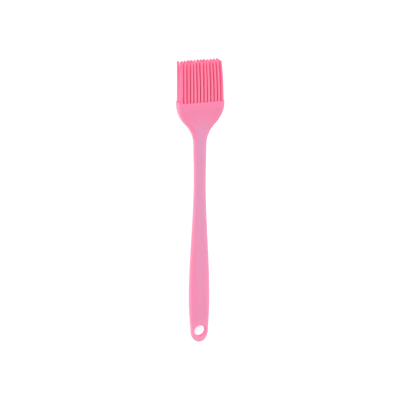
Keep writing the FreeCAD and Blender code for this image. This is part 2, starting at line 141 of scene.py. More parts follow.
class BristleSettings(bpy.types.PropertyGroup):
    """Sizes and irregularity of the bristles."""
    count: IntProperty(name="Bristles", description="Bristles on one comb", default=13, min=2)
    root_radius: length("Root radius", "Radius of a bristle just above its root", 0.925)
    tip_radius: length("Tip radius", "Radius of a bristle at its tip", 0.725)
    flare: length("Root flare", "How far the moulded root spreads into its bar", 0.22)
    flare_length: length("Root flare length", "Length of that spread", 0.9)
    sink: length("Sink", "How deep a root starts inside its bar", 0.5)
    lean: factor("Lean", "Largest lean of a bristle, in radians", 0.004)
    bend: length("Bend", "Largest sideways bend of a tip", 0.16)
    short: factor("Shortening", "Largest share by which a bristle is shorter", 0.018)
    gather: length("Gather", "How far the last tip of a row is drawn in towards the first", 1.5)
    tuck: length("Tuck", "How far the first tips of the two middle rows stand in", 1.0)
    splay: length("Splay", "How far the first tip of the back row stands out", 0.1)
    flex: length("Flex zone", "A bent bristle curves this far past the middle of its root", 14.0)
    seed: IntProperty(name="Seed", description="Seed of the irregularity", default=4)


class FinishSettings(bpy.types.PropertyGroup):
    """Colours and surface of the materials."""
    grip: tone("Grip colour", "Silicone of the grip and the neck", (0.80, 0.225, 0.385))
    head: tone("Head colour", "Silicone of the thick head", (0.80, 0.205, 0.36))
    eye: tone("Eye colour", "Silicone of the thin eye", (0.81, 0.262, 0.425))
    veil: tone("Veil colour", "Silicone of the sleeve over the strip", (0.64, 0.27, 0.425))
    comb: tone("Comb colour", "Silicone of the bristles", (0.98, 0.17, 0.32))
    # The root colour is painted shade: a darker, deeper red than the bristles, given to the comb
    # bars down in the cup.
    root: tone("Root colour", "Silicone of the comb bars, down in the cup", (0.75, 0.08, 0.16))
    steel: tone("Steel colour", "Strip inside the sleeve", (0.40, 0.41, 0.45))
    roughness: factor("Roughness", "Roughness of the silicone", 0.42)
    glow: factor("Glow", "Share of the light that scatters inside the sleeve", 0.30)
    grain: length("Grain", "Size of the silicone's fine satin grain", 0.12)
    grain_height: factor("Grain height", "Strength of that grain", 0.06)


class StageSettings(bpy.types.PropertyGroup):
    """Camera, light and floor."""
    distance: length("Distance", "Camera to the middle of the brush", 1298.0)
    view_width: length("View width", "Width that the camera sees at that distance", 285.7)
    side_angle: angle("Side angle", "Camera towards the left of the brush", 19.4)
    tip_angle: angle("Tip angle", "Camera towards the bristle tips", 16.7)
    roll: angle("Roll", "Turn of the camera about its own axis", 0.20)
    aim_along: length("Aim", "Aim point towards the tips", 3.15)
    sky: factor("Sky", "Strength of the even light all round", 0.80, 0, 10)
    key: factor("Key light", "Power of the key light, in watts", 9.0, 0, 1000)
    key_width: length("Key light width", "Width of the square key light", 900.0)
    fill: factor("Fill light", "Power of the fill light, in watts", 3.0, 0, 1000)
    fill_width: length("Fill light width", "Width of the square fill light", 700.0)
    floor: factor("Floor glow", "Strength of the lit floor", 0.35, 0, 10)


def settings():
    """The four groups of sizes, as they stand."""
    scene = bpy.context.scene
    return scene.brush_sleeve, scene.brush_bristles, scene.brush_finish, scene.brush_stage


# ---------------------------------------------------------------- materials

def new_material(name):
    """An empty material with its Principled shader and its output joined."""
    material = bpy.data.materials.new(name)
    material.use_nodes = True
    nodes = material.node_tree.nodes
    nodes.clear()
    shader = nodes.new("ShaderNodeBsdfPrincipled")
    output = nodes.new("ShaderNodeOutputMaterial")
    material.node_tree.links.new(shader.outputs["BSDF"], output.inputs["Surface"])
    return material, shader


def join(material, source, target):
    """Links two sockets of a material."""
    material.node_tree.links.new(source, target)


def arithmetic(material, operation, first, second):
    """A Math node. Either value may be a number or a socket."""
    node = material.node_tree.nodes.new("ShaderNodeMath")
    node.operation = operation
    for socket, value in zip(node.inputs, (first, second)):
        if isinstance(value, (int, float)):
            socket.default_value = value
        else:
            join(material, value, socket)
    return node.outputs["Value"]


def ramp(material, value, low, high, result_low=0.0, result_high=1.0):
    """A smooth step of a value between two limits."""
    node = material.node_tree.nodes.new("ShaderNodeMapRange")
    node.interpolation_type = "SMOOTHSTEP"
    join(material, value, node.inputs["Value"])
    limits = {"From Min": low, "From Max": high, "To Min": result_low, "To Max": result_high}
    for name, number in limits.items():
        node.inputs[name].default_value = number
    return node.outputs["Result"]


def blend_colours(material, share, first, second):
    """A colour between two, as a socket. Each of the two may be a colour or a socket."""
    node = material.node_tree.nodes.new("ShaderNodeMix")
    node.data_type = "RGBA"
    join(material, share, node.inputs["Factor"])
    colours = [socket for socket in node.inputs if socket.type == "RGBA"]
    for socket, colour in zip(colours, (first, second)):
        if isinstance(colour, bpy.types.NodeSocket):
            join(material, colour, socket)
        else:
            socket.default_value = (*colour, 1)
    return [socket for socket in node.outputs if socket.type == "RGBA"][0]


def noise(material, coordinates, size, detail=2.0):
    """A noise pattern whose features have that size in metres."""
    node = material.node_tree.nodes.new("ShaderNodeTexNoise")
    node.inputs["Scale"].default_value = 1 / size
    node.inputs["Detail"].default_value = detail
    join(material, coordinates, node.inputs["Vector"])
    return node.outputs["Fac"]


SILICONE_IOR = 1.41
GLOW_RADIUS = (1.0, 0.35, 0.45)
GLOW_DEPTH = 0.9 * MM


def silicone(name, finish, colour_of, glow=0.0):
    """Satin silicone whose gloss is broken up by a fine grain. colour_of makes the colour from the
    coordinates, and glow is the share of the light that scatters inside."""
    material, shader = new_material(name)
    place = material.node_tree.nodes.new("ShaderNodeTexCoord").outputs["Object"]
    join(material, colour_of(material, place), shader.inputs["Base Color"])
    shader.inputs["Roughness"].default_value = finish.roughness
    shader.inputs["IOR"].default_value = SILICONE_IOR
    shader.inputs["Subsurface Weight"].default_value = glow
    shader.inputs["Subsurface Radius"].default_value = GLOW_RADIUS
    shader.inputs["Subsurface Scale"].default_value = GLOW_DEPTH
    shader.inputs["Sheen Weight"].default_value = 0.12
    shader.inputs["Sheen Roughness"].default_value = 0.45
    bump = material.node_tree.nodes.new("ShaderNodeBump")
    bump.inputs["Strength"].default_value = finish.grain_height
    bump.inputs["Distance"].default_value = finish.grain
    join(material, noise(material, place, finish.grain, 3.0), bump.inputs["Height"])
    join(material, bump.outputs["Normal"], shader.inputs["Normal"])
    return material


VEIL_FULL = 1.8 * MM
VEIL_END = 6.2 * MM
VEIL_CLOUD = 9 * MM
HEAD_GROWTH = 4 * MM
HEAD_GROWTH_FROM = 50 * MM
HEAD_GROWTH_TO = 66 * MM


def veil_share(material, place, across, along):
    """How strongly the strip shows through the sleeve. The veil is as wide as the strip and spreads
    in the head, starts at the strip's lower end, grows stronger towards the thin neck, fades out
    before the rim, and is a little cloudy."""
    strip_low, strip_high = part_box("core_strip")
    spread = ramp(material, along, HEAD_GROWTH_FROM, HEAD_GROWTH_TO, 0.0, HEAD_GROWTH)
    distance = arithmetic(material, "SUBTRACT", across, spread)
    shares = (
        ramp(material, along, strip_low.y - 1.0 * MM, strip_low.y + 1.5 * MM),
        ramp(material, along, strip_high.y - 21 * MM, strip_high.y + 5 * MM, 1.0, 0.0),
        ramp(material, along, -70 * MM, 10 * MM, 0.5, 0.88),
        ramp(material, noise(material, place, VEIL_CLOUD), 0.3, 0.7, 0.94, 1.0))
    veil = ramp(material, distance, VEIL_FULL, VEIL_END, 1.0, 0.0)
    for share in shares:
        veil = arithmetic(material, "MULTIPLY", veil, share)
    return veil


def sleeve_colour(material, place):
    """Pink, deeper at the thick head and paler at the thin eye, with the grey veil of the strip."""
    finish = bpy.context.scene.brush_finish
    split = material.node_tree.nodes.new("ShaderNodeSeparateXYZ")
    join(material, place, split.inputs["Vector"])
    across = arithmetic(material, "ABSOLUTE", split.outputs["X"], 0.0)
    along = split.outputs["Y"]
    towards_head = ramp(material, along, 5 * MM, 62 * MM)
    towards_eye = ramp(material, along, -93 * MM, -84 * MM, 1.0, 0.0)
    plain = blend_colours(material, towards_head, tuple(finish.grip), tuple(finish.head))
    plain = blend_colours(material, towards_eye, plain, tuple(finish.eye))
    return blend_colours(material, veil_share(material, place, across, along), plain,
                         tuple(finish.veil))


PALER_SHARE = 0.05


def bristle_colour(material, _):
    """Strong pink, a little different from one bristle to the next."""
    finish = bpy.context.scene.brush_finish
    varied = material.node_tree.nodes.new("ShaderNodeAttribute")
    varied.attribute_name = "tone"
    paler = tuple(straight(channel, 1.0, PALER_SHARE) for channel in finish.comb)
    return blend_colours(material, varied.outputs["Fac"], tuple(finish.comb), paler)


BAR_CLOUD = 3 * MM


def shaded_bar_colour(material, place):
    """Deep pink with painted shade: the bars down in the cup get the darker, deeper red of the root
    colour, clouded with the bristles' pink.
    """
    finish = bpy.context.scene.brush_finish
    cloud = noise(material, place, BAR_CLOUD)
    return blend_colours(material, cloud, tuple(finish.root), tuple(finish.comb))


MARK_SIZE = 0.3 * MM
MARK_SQUEEZE = 0.05
MARK_BRIGHTER = 1.2


def steel(finish):
    """Dull rolled steel, with marks along its length."""
    material, shader = new_material("strip_steel")
    place = material.node_tree.nodes.new("ShaderNodeTexCoord").outputs["Object"]
    mapping = material.node_tree.nodes.new("ShaderNodeMapping")
    mapping.inputs["Scale"].default_value = (1, MARK_SQUEEZE, 1)
    join(material, place, mapping.inputs["Vector"])
    marks = noise(material, mapping.outputs["Vector"], MARK_SIZE, 4.0)
    paler = tuple(min(1, channel * MARK_BRIGHTER) for channel in finish.steel)
    join(material, blend_colours(material, marks, tuple(finish.steel), paler),
         shader.inputs["Base Color"])
    join(material, ramp(material, marks, 0.3, 0.7, 0.32, 0.5), shader.inputs["Roughness"])
    shader.inputs["Metallic"].default_value = 1.0
    return material


# ---------------------------------------------------------------- the sleeve's mesh

def straight(start, end, share):
    """The value at a share of the straight way from start to end."""
    return start + (end - start) * share


def gentle(start, end, share):
    """The same on a curve that is level at both ends."""
    return straight(start, end, (1 - math.cos(math.pi * share)) / 2)


def section_at(sizes, station):
    """Half width, thickness, lift and corner of the sleeve at a station past the round end."""
    eye = (sizes.eye_half, sizes.eye_thickness, sizes.eye_lift, sizes.eye_corner)
    grip = (sizes.grip_half, sizes.grip_thickness, -sizes.back_flat, sizes.grip_corner)
    neck = (sizes.neck_half, sizes.neck_thickness, sizes.neck_lift, sizes.neck_corner)
    shoulder = (sizes.shoulder_half,) + neck[1:]
    head = (sizes.head_half, sizes.head_thickness, -sizes.back_flat, sizes.head_corner)
    if station <= sizes.eye_length:
        return eye
    if station <= sizes.grip_station:
        share = (station - sizes.eye_length) / (sizes.grip_station - sizes.eye_length)
        half = straight(eye[0], grip[0], math.sin(math.pi / 2 * share))
        return (half,) + tuple(gentle(a, b, share) for a, b in zip(eye[1:], grip[1:]))
    if station <= sizes.neck_station:
        share = (station - sizes.grip_station) / (sizes.neck_station - sizes.grip_station)
        return tuple(gentle(a, b, share) for a, b in zip(grip, neck))
    if station <= sizes.flare_start:
        share = (station - sizes.neck_station) / (sizes.flare_start - sizes.neck_station)
        return tuple(gentle(a, b, share) for a, b in zip(neck, shoulder))
    if station < sizes.flare_end:
        run = sizes.flare_end - sizes.flare_start
        late = ((station - sizes.flare_start) / run) ** 2
        rest = tuple(gentle(a, b, late) for a, b in zip(shoulder[1:], head[1:]))
        return (flare_half(sizes, station),) + rest
    return head


def flare_half(sizes, station):
    """Half the width in the flare: two equal arcs, tangent to each other."""
    run = sizes.flare_end - sizes.flare_start
    rise = sizes.head_half - sizes.shoulder_half
    radius = (run * run + rise * rise) / (4 * rise)
    if station - sizes.flare_start <= run / 2:
        reach = station - sizes.flare_start
        return sizes.shoulder_half + radius - math.sqrt(radius * radius - reach * reach)
    reach = sizes.flare_end - station
    return sizes.head_half - radius + math.sqrt(radius * radius - reach * reach)


def edge_drop(inside, corner):
    """How far a rounded edge has dropped at a distance inside the outline."""
    if inside >= corner:
        return 0.0
    rest = corner - max(inside, 0.0)
    return corner - math.sqrt(max(corner * corner - rest * rest, 0.0))


def eye_inside(sizes, x, station):
    """Distance of a place inside the outline of the eye: an arc at the end, and one on each side
    that leads from it to the grip."""
    if station > sizes.eye_length:
        return section_at(sizes, station)[0] - abs(x)
    nose, half = sizes.eye_nose, sizes.eye_half
    rise = sizes.eye_length - nose
    side = (rise * rise + half * half - nose * nose) / (2 * (half - nose))
    if abs(x) * rise > (nose - station) * (side - half):
        return side - math.hypot(abs(x) + side - half, station - sizes.eye_length)
    return nose - math.hypot(x, station - nose)


def eye_faces(sizes, x, station):
    """Heights of the upper and the lower face of the eye at a place."""
    _, thickness, lift, corner = section_at(sizes, station)
    inside = eye_inside(sizes, x, station)
    from_hole = math.hypot(x, station - sizes.hole_station) - sizes.hole_radius
    drop = math.hypot(edge_drop(inside, corner), edge_drop(from_hole, sizes.hole_rounding))
    return lift + thickness - drop, max(lift + drop, 0.0)


FLAT_STEPS = 8
CORNER_STEPS = 9
SIDE_STEPS = 3
RIM_STEPS = 4
MERGE_DISTANCE = 0.001 * MM


def upper_places(half, corner):
    """The x places of the points on a section's upper face, from left to right."""
    turns = [math.pi / 2 * n / CORNER_STEPS for n in range(CORNER_STEPS + 1)]
    left = [-(half - corner) - corner * math.cos(turn) for turn in turns]
    inner = half - corner
    flat = [straight(-inner, inner, n / FLAT_STEPS) for n in range(1, FLAT_STEPS)]
    right = [-x for x in reversed(left)]
    return left + flat + right


def ring(station, half, thickness, lift, corner):
    """The closed outline of a rounded section, as points in the row frame."""
    upper = []
    lower = []
    for x in upper_places(half, corner):
        drop = edge_drop(half - abs(x), corner)
        upper.append((x, lift + thickness - drop))
        lower.append((x, lift + drop))
    down = [n / SIDE_STEPS for n in range(1, SIDE_STEPS)]
    right = [(half, straight(lift + thickness - corner, lift + corner, share)) for share in down]
    left = [(-x, z) for x, z in reversed(right)]
    points = upper + right + lower[::-1] + left
    return [Vector((x, TAIL + station, max(z, 0.0))) for x, z in points]


def bridge(mesh, first, second):
    """Quads between two closed rings of the same number of points."""
    for n in range(len(first)):
        m = (n + 1) % len(first)
        mesh.faces.new((first[n], first[m], second[m], second[n]))


def add_rings(mesh, rings):
    """Vertices for a list of rings, bridged one to the next."""
    rows = [[mesh.verts.new(point) for point in points] for points in rings]
    for first, second in zip(rows, rows[1:]):
        bridge(mesh, first, second)
    return rows


def outline_reach(sizes, turn):
    """Distance from the hole's middle to the outline of the eye, in a direction."""
    low, high = sizes.hole_radius, 4 * sizes.grip_half
    for _ in range(40):
        middle = (low + high) / 2
        x = middle * math.cos(turn)
        station = sizes.hole_station + middle * math.sin(turn)
        low, high = (middle, high) if eye_inside(sizes, x, station) > 0 else (low, middle)
    return low


HOLE_STEPS = 7
WEB_STEPS = 6
OUTLINE_RAYS = 72


def eye_rays(sizes, join_station):
    """Directions round the hole and the distance to the patch's border in each: first along the
    ring that the eye shares with the grip, then down the outline's left side and up its right."""
    half, _, _, corner = section_at(sizes, join_station)
    rise = join_station - sizes.hole_station
    rays = []
    for x in reversed(upper_places(half, corner)):
        rays.append((math.atan2(rise, x), math.hypot(x, rise), True))
    first = rays[-1][0]
    last = rays[0][0] + 2 * math.pi
    for n in range(1, OUTLINE_RAYS):
        turn = straight(first, last, n / OUTLINE_RAYS)
        rays.append((turn, outline_reach(sizes, turn), False))
    return rays


def add_eye(mesh, sizes, join_station):
    """The eye and the start of the grip: an upper and a lower web of quads round the hole, the
    wall of the hole between them, and the wall along the outline."""
    upper, lower, walls = [], [], []
    start = sizes.hole_radius + sizes.hole_rounding
    turns = [math.pi / 2 * n / HOLE_STEPS for n in range(HOLE_STEPS)]
    hole_zone = [start - sizes.hole_rounding * math.cos(turn) for turn in turns]
    for turn, reach, shared in eye_rays(sizes, join_station):
        web = []
        for n in range(WEB_STEPS + 1):
            share = n / WEB_STEPS
            eased = share if shared else math.sin(math.pi / 2 * share)
            web.append(straight(start, reach, eased))
        if reach <= start:
            raise RuntimeError("the hanging hole reaches the outline of the eye")
        top_line, low_line = [], []
        for away in hole_zone + web:
            x = away * math.cos(turn)
            station = sizes.hole_station + away * math.sin(turn)
            top, low = eye_faces(sizes, x, station)
            top_line.append(mesh.verts.new((x, TAIL + station, top)))
            low_line.append(mesh.verts.new((x, TAIL + station, low)))
        upper.append(top_line)
        lower.append(low_line)
        walls.append(shared)
    count = len(upper)
    for n in range(count):
        m = (n + 1) % count
        for k in range(len(upper[n]) - 1):
            mesh.faces.new((upper[n][k], upper[n][k + 1], upper[m][k + 1], upper[m][k]))
            mesh.faces.new((lower[n][k], lower[m][k], lower[m][k + 1], lower[n][k + 1]))
        add_wall(mesh, upper[n][0], upper[m][0], lower[n][0], lower[m][0])
        if not (walls[n] and walls[m]):
            add_wall(mesh, upper[n][-1], upper[m][-1], lower[n][-1], lower[m][-1])


def add_wall(mesh, top_a, top_b, low_a, low_b):
    """An upright strip of quads between an upper and a lower edge."""
    before = (top_a, top_b)
    for step in range(1, SIDE_STEPS + 1):
        if step == SIDE_STEPS:
            after = (low_a, low_b)
        else:
            share = step / SIDE_STEPS
            after = tuple(mesh.verts.new(top.co.lerp(low.co, share))
                          for top, low in ((top_a, low_a), (top_b, low_b)))
        mesh.faces.new((before[0], before[1], after[1], after[0]))
        before = after


def sleeve_mesh(sizes):
    """The whole sleeve as one closed mesh."""
    mesh = bmesh.new()
    join_station = sizes.hole_station + 2 * sizes.hole_radius + sizes.hole_rounding
    add_eye(mesh, sizes, join_station)

    rings = []
    stops = [join_station, sizes.grip_station, sizes.neck_station, sizes.flare_start,
             sizes.flare_end, sizes.rim_station - sizes.rim_rounding]
    for low, high in zip(stops, stops[1:]):
        steps = math.ceil((high - low) / sizes.ring_step)
        rings += [straight(low, high, n / steps) for n in range(steps)]
    rings.append(stops[-1])
    outlines = [ring(station, *section_at(sizes, station)) for station in rings]
    outlines += rim_rings(sizes)
    rows = add_rings(mesh, outlines)
    mesh.faces.new(rows[-1])
    bmesh.ops.remove_doubles(mesh, verts=mesh.verts, dist=MERGE_DISTANCE)
    bmesh.ops.recalc_face_normals(mesh, faces=mesh.faces)
    return mesh


def rim_rings(sizes):
    """Over the rounded rim and down the inside of the cup to its floor."""
    half, thickness, lift, corner = section_at(sizes, sizes.rim_station)
    rings = []
    rounding = sizes.rim_rounding
    for step in range(1, RIM_STEPS + 1):
        turn = math.pi / 2 * step / RIM_STEPS
        inset = rounding * (1 - math.cos(turn))
        station = sizes.rim_station - rounding + rounding * math.sin(turn)
        rings.append(ring(station, half - inset, thickness - 2 * inset, lift + inset,
                          corner - inset))
    cup_half = sizes.head_half - sizes.cup_wall
    cup_lift = sizes.cup_wall
    cup_height = sizes.head_thickness - sizes.back_flat - 2 * sizes.cup_wall
    for step in range(RIM_STEPS + 1):
        turn = math.pi / 2 * step / RIM_STEPS
        outset = rounding * (1 - math.sin(turn))
        station = sizes.rim_station - rounding + rounding * math.cos(turn)
        rings.append(ring(station, cup_half + outset, cup_height + 2 * outset, cup_lift - outset,
                          sizes.cup_corner + outset))
    floor_station = sizes.rim_station - sizes.cup_depth
    draw_in = sizes.head_half - section_at(sizes, floor_station)[0]
    rings.append(ring(floor_station, cup_half - draw_in, cup_height, cup_lift, sizes.cup_corner))
    return rings


def finish_piece(name, mesh, material, smooth_angle):
    """An object from a mesh in the making, with its material and its smooth shading."""
    data = bpy.data.meshes.new(name)
    mesh.to_mesh(data)
    mesh.free()
    data.materials.append(material)
    data.shade_smooth()
    data.set_sharp_from_angle(angle=smooth_angle)
    piece = bpy.data.objects.new(name, data)
    bpy.context.scene.collection.objects.link(piece)
    return piece


# ---------------------------------------------------------------- the combs

BAR_EDGE = 0.22 * MM
BAR_EDGE_STEPS = 3


def bar_mesh(node):
    """A comb's bar with eased edges, from a merged copy of the frame's own bar."""
    mesh = bmesh.new()
    mesh.from_mesh(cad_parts[node].data)
    bmesh.ops.remove_doubles(mesh, verts=mesh.verts, dist=MERGE_DISTANCE)
    bmesh.ops.dissolve_limit(mesh, angle_limit=math.radians(2), verts=mesh.verts, edges=mesh.edges)
    sharp = [edge for edge in mesh.edges if len(edge.link_faces) == 2
             and edge.calc_face_angle() > math.radians(40)]
    bmesh.ops.bevel(mesh, geom=sharp, offset=BAR_EDGE, segments=BAR_EDGE_STEPS, profile=0.5,
                    affect="EDGES", clamp_overlap=True)
    bmesh.ops.recalc_face_normals(mesh, faces=mesh.faces)
    return mesh


BRISTLE_SIDES = 16
BRISTLE_RINGS = 16
ROOT_RINGS = 5
TIP_RINGS = 5


def bristle_profile(sizes, reach):
    """Distance from the root and radius of every ring of a bristle, from its buried end."""
    profile = [(-sizes.sink, sizes.root_radius + sizes.flare)]
    for step in range(ROOT_RINGS + 1):
        turn = math.pi / 2 * step / ROOT_RINGS
        profile.append((sizes.flare_length * math.sin(turn) ** 2,
                        sizes.root_radius + sizes.flare * (1 - math.sin(turn))))
    shaft = reach - sizes.tip_radius
    for step in range(1, BRISTLE_RINGS + 1):
        share = step / BRISTLE_RINGS
        profile.append((straight(sizes.flare_length, shaft, share),
                        straight(sizes.root_radius, sizes.tip_radius, share)))
    for step in range(1, TIP_RINGS):
        turn = math.pi / 2 * step / TIP_RINGS
        profile.append((shaft + sizes.tip_radius * math.sin(turn),
                        sizes.tip_radius * math.cos(turn)))
    return profile


def bristle_mesh(sizes, reach):
    """One straight bristle along Y, with a spread root and a domed tip."""
    mesh = bmesh.new()
    rows = []
    for along, radius in bristle_profile(sizes, reach):
        row = []
        for side in range(BRISTLE_SIDES):
            turn = 2 * math.pi * side / BRISTLE_SIDES
            row.append(mesh.verts.new((radius * math.cos(turn), along, radius * math.sin(turn))))
        rows.append(row)
    for first, second in zip(rows, rows[1:]):
        bridge(mesh, first, second)
    for row, along in ((rows[0], -sizes.sink), (rows[-1], reach)):
        pole = mesh.verts.new((0, along, 0))
        for n in range(BRISTLE_SIDES):
            mesh.faces.new((row[n], row[(n + 1) % BRISTLE_SIDES], pole))
    bmesh.ops.recalc_face_normals(mesh, faces=mesh.faces)
    return mesh


class Tree:
    """A small helper that adds and links geometry nodes."""

    def __init__(self, name):
        self.group = bpy.data.node_groups.new(name, "GeometryNodeTree")
        self.add_socket("Geometry", "INPUT", "NodeSocketGeometry")
        self.add_socket("Geometry", "OUTPUT", "NodeSocketGeometry")
        self.source = self.node("NodeGroupInput")
        self.result = self.node("NodeGroupOutput")

    def add_socket(self, name, direction, kind):
        """A named input or output of the tree."""
        return self.group.interface.new_socket(name=name, in_out=direction, socket_type=kind)

    def node(self, kind, links=None, **options):
        """A node, with its options set and its inputs linked or filled, by name."""
        node = self.group.nodes.new(kind)
        for option, value in options.items():
            setattr(node, option, value)
        for name, value in (links or {}).items():
            self.fill(node, name, value)
        return node

    def fill(self, node, name, value):
        """Links or fills one input. Only the enabled socket of that name counts."""
        self.put([s for s in node.inputs if s.name == name and s.enabled][0], value)

    def put(self, socket, value):
        """Links a socket to an input, or fills the input with a plain value."""
        if isinstance(value, bpy.types.NodeSocket):
            self.group.links.new(value, socket)
        else:
            socket.default_value = value

    def math(self, operation, first, second):
        """A Math node's result."""
        node = self.node("ShaderNodeMath", operation=operation)
        for socket, value in zip(node.inputs, (first, second)):
            self.put(socket, value)
        return node.outputs["Value"]

    def vector(self, x, y, z):
        """A vector from three values."""
        return self.node("ShaderNodeCombineXYZ", {"X": x, "Y": y, "Z": z}).outputs["Vector"]

    def random(self, low, high, seed, kind="FLOAT"):
        """A random number, or a random vector, between two limits."""
        node = self.node("FunctionNodeRandomValue", data_type=kind)
        for name, value in (("Min", low), ("Max", high), ("Seed", seed)):
            self.fill(node, name, value)
        return [s for s in node.outputs if s.enabled][0]

    def spread(self, reach, seed):
        """A random vector within plus and minus a reach, in X and in Z."""
        back = self.math("MULTIPLY", reach, -1)
        return self.random(self.vector(back, 0.0, back), self.vector(reach, 0.0, reach), seed,
                           "FLOAT_VECTOR")


SIZE_SEED = 11
TONE_SEED = 29
BEND_SEED = 47
ROW_SEED = 100


COMB_INPUTS = {
    "Count": "NodeSocketInt", "Spacing": "NodeSocketFloat", "Root Along": "NodeSocketFloat",
    "Root Height": "NodeSocketFloat", "Reach": "NodeSocketFloat", "Lean": "NodeSocketFloat",
    "Bend": "NodeSocketFloat", "Shortening": "NodeSocketFloat", "Gather": "NodeSocketFloat",
    "Tuck": "NodeSocketFloat", "Seed": "NodeSocketInt", "Material": "NodeSocketMaterial"}


def comb_tree():
    """Repeats one bristle along a comb, each a little leaned, bent, shortened and toned."""
    tree = Tree("comb_of_bristles")
    for name, kind in COMB_INPUTS.items():
        tree.add_socket(name, "INPUT", kind)
    given = tree.source.outputs
    gaps = tree.math("SUBTRACT", given["Count"], 1)
    placed = placed_bristles(tree, given, gaps)
    toned = tree.node("GeometryNodeStoreNamedAttribute", {
        "Geometry": placed, "Name": "tone",
        "Value": tree.random(0.0, 1.0, tree.math("ADD", given["Seed"], TONE_SEED))},
        data_type="FLOAT", domain="INSTANCE")
    marked = tree.node("GeometryNodeStoreNamedAttribute", {
        "Geometry": toned.outputs["Geometry"], "Name": "tip_bend",
        "Value": tip_shift(tree, given, gaps)}, data_type="FLOAT_VECTOR", domain="INSTANCE")
    whole = tree.node("GeometryNodeRealizeInstances", {"Geometry": marked.outputs["Geometry"]})
    coated = tree.node("GeometryNodeSetMaterial", {
        "Geometry": bent_bristles(tree, given, whole.outputs["Geometry"]),
        "Material": given["Material"]})
    tree.group.links.new(coated.outputs["Geometry"], tree.result.inputs["Geometry"])
    return tree.group


def placed_bristles(tree, given, gaps):
    """Instances of the bristle in a line along X, each a little leaned and shortened."""
    start = tree.math("MULTIPLY", tree.math("MULTIPLY", gaps, given["Spacing"]), -0.5)
    line = tree.node("GeometryNodeMeshLine", {
        "Count": given["Count"],
        "Start Location": tree.vector(start, given["Root Along"], given["Root Height"]),
        "Offset": tree.vector(given["Spacing"], 0.0, 0.0)})
    lean = tree.node("ShaderNodeSeparateXYZ", {
        "Vector": tree.spread(given["Lean"], given["Seed"])}).outputs
    shortest = tree.math("SUBTRACT", 1.0, given["Shortening"])
    size = tree.random(shortest, 1.0, tree.math("ADD", given["Seed"], SIZE_SEED))
    placed = tree.node("GeometryNodeInstanceOnPoints", {
        "Points": line.outputs["Mesh"], "Instance": given["Geometry"],
        "Rotation": tree.vector(lean["X"], 0.0, lean["Z"]),
        "Scale": tree.vector(1.0, size, 1.0)})
    return placed.outputs["Instances"]


def tip_shift(tree, given, gaps):
    """How far each bristle's tip stands from straight: a little at random, in towards the first
    bristle along the row, and the first one by its tuck."""
    index = tree.node("GeometryNodeInputIndex").outputs["Index"]
    is_first = tree.math("LESS_THAN", index, 0.5)
    gather = tree.math("MULTIPLY", tree.math("DIVIDE", index, gaps), given["Gather"])
    tuck = tree.math("MULTIPLY", is_first, given["Tuck"])
    bend = tree.spread(given["Bend"], tree.math("ADD", given["Seed"], BEND_SEED))
    total = tree.node("ShaderNodeVectorMath", operation="ADD")
    tree.put(total.inputs[0], bend)
    tree.put(total.inputs[1], tree.vector(tree.math("SUBTRACT", tuck, gather), 0.0, 0.0))
    return total.outputs["Vector"]


def bent_bristles(tree, given, geometry):
    """The whole comb with every bristle curved from its root to its shifted tip."""
    place = tree.node("ShaderNodeSeparateXYZ", {
        "Vector": tree.node("GeometryNodeInputPosition").outputs["Position"]}).outputs["Y"]
    share = tree.math("DIVIDE", tree.math("SUBTRACT", place, given["Root Along"]), given["Reach"])
    weight = tree.math("POWER", tree.math("MAXIMUM", share, 0.0), 2.0)
    read = tree.node("GeometryNodeInputNamedAttribute", {"Name": "tip_bend"},
                     data_type="FLOAT_VECTOR")
    scaled = tree.node("ShaderNodeVectorMath", operation="SCALE")
    tree.put(scaled.inputs[0], [s for s in read.outputs if s.enabled][0])
    tree.fill(scaled, "Scale", weight)
    moved = tree.node("GeometryNodeSetPosition", {
        "Geometry": geometry, "Offset": scaled.outputs["Vector"]})
    return moved.outputs["Geometry"]


def made_plain(piece):
    """Turns a piece's modifiers into its plain mesh."""
    bpy.context.view_layer.update()
    evaluated = piece.evaluated_get(bpy.context.evaluated_depsgraph_get())
    data = bpy.data.meshes.new_from_object(evaluated)
    old = piece.data
    piece.modifiers.clear()
    piece.data = data
    bpy.data.meshes.remove(old)


# ---------------------------------------------------------------- operators

class BRUSH_OT_sleeve(bpy.types.Operator):
    """Build the silicone sleeve: eye, grip, neck, flare and cup"""
    bl_idname = "brush.sleeve"
    bl_label = "Sleeve"

    def execute(self, context):
        sizes, _, finish, _ = settings()
        coat = silicone("sleeve_silicone", finish, sleeve_colour, finish.glow)
        piece = finish_piece("sleeve", sleeve_mesh(sizes), coat, math.radians(60))
        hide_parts("handle_sleeve")
        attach(piece, "handle")
        return {"FINISHED"}


class BRUSH_OT_strip(bpy.types.Operator):
    """Give the steel strip inside the sleeve its finish"""
    bl_idname = "brush.strip"
    bl_label = "Steel strip"

    def execute(self, context):
        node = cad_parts["core_strip"]
        node.data.materials.clear()
        node.data.materials.append(steel(context.scene.brush_finish))
        return {"FINISHED"}


class BRUSH_OT_bars(bpy.types.Operator):
    """Build the comb bars that the bristles stand on"""
    bl_idname = "brush.bars"
    bl_label = "Comb bars"

    def execute(self, context):
        coat = silicone("comb_silicone", context.scene.brush_finish, shaded_bar_colour)
        for row in range(1, ROWS + 1):
            node = f"comb_bar_{row}"
            piece = finish_piece(f"bar_{row}", bar_mesh(node), coat, math.radians(50))
            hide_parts(node)
            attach(piece, "handle")
        return {"FINISHED"}


